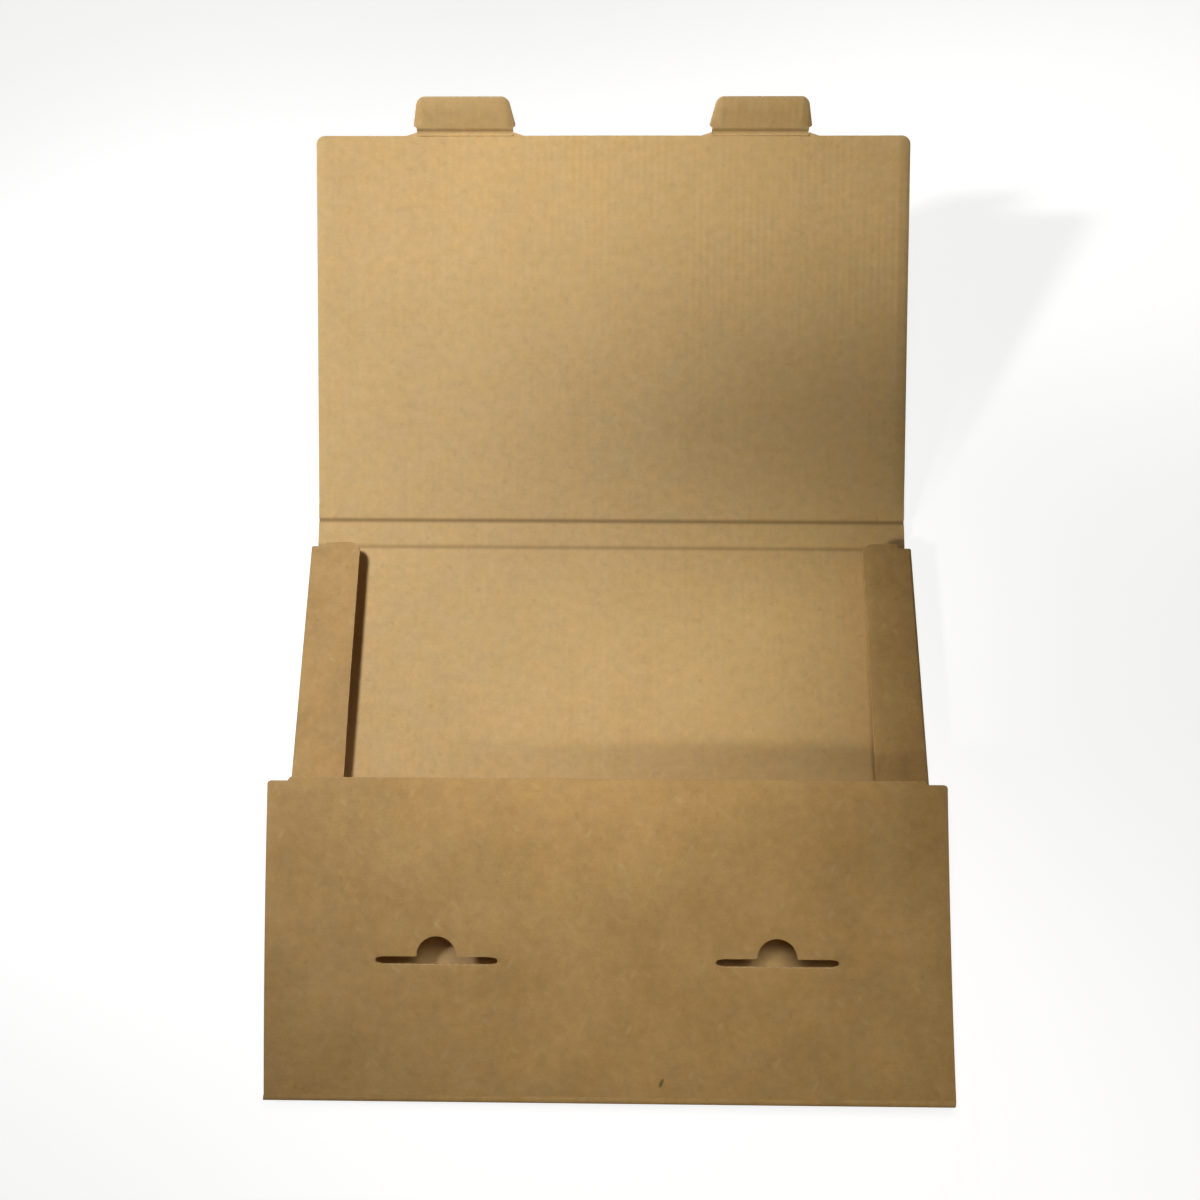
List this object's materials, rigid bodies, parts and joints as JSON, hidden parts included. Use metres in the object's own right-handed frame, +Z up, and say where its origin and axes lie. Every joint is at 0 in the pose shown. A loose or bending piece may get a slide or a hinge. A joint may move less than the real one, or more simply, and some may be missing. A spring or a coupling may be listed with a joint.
{
  "type": "folding gift box",
  "caption": "Shallow folding gift box in kraft corrugated board, lying open: a tray with side flanges, a front flap with lock slits, and a lid with lock tabs.",
  "frame": {"origin": "middle of the floor's underside, halfway between the front and back creases", "axes": "+Z up, +Y from the front wall towards the lid, +X to the right seen from the front"},
  "size_m": [0.275, 0.4279, 0.0713],
  "materials": {
    "kraft_inside": "uncoated kraft liner, light inside face with faint washboard lines",
    "kraft_outside": "uncoated kraft liner, darker and smoother outside face"
  },
  "bodies": {
    "tray": {"tray": "kraft_inside"},
    "back_wall": {"back_wall": "kraft_inside"},
    "lid": {"lid": "kraft_inside"},
    "left_lock_tab": {"left_lock_tab": "kraft_inside"},
    "right_lock_tab": {"right_lock_tab": "kraft_inside"},
    "front_flap": {"front_flap": "kraft_outside"}
  },
  "joints": [
    {"name": "back_wall_fold", "type": "hinge", "parent": "tray", "child": "back_wall", "pos_m": [0, 0.117, 0.00075], "axis": [1, 0, 0], "range_deg": [-9, 80.2]},
    {"name": "lid_fold", "type": "hinge", "parent": "back_wall", "child": "lid", "pos_m": [0, 0.12944, 0.00272], "axis": [1, 0, 0], "range_deg": [-9, 80.2]},
    {"name": "left_tab_fold", "type": "hinge", "parent": "lid", "child": "left_lock_tab", "pos_m": [-0.068, 0.29992, 0.05811], "axis": [1, 0, 0], "range_deg": [-6.3, 55.1]},
    {"name": "right_tab_fold", "type": "hinge", "parent": "lid", "child": "right_lock_tab", "pos_m": [0.068, 0.29992, 0.05811], "axis": [1, 0, 0], "range_deg": [-6.3, 55.1]},
    {"name": "front_flap_fold", "type": "hinge", "parent": "tray", "child": "front_flap", "pos_m": [0, -0.117, 0.01155], "axis": [1, 0, 0], "range_deg": [-12, 1.4]}
  ],
  "couplings": [
    {"joint": "lid_fold", "follows": "back_wall_fold", "ratio": 1},
    {"joint": "left_tab_fold", "follows": "back_wall_fold", "ratio": 0.6858},
    {"joint": "right_tab_fold", "follows": "back_wall_fold", "ratio": 0.6858},
    {"joint": "front_flap_fold", "follows": "back_wall_fold", "ratio": -0.1495}
  ]
}
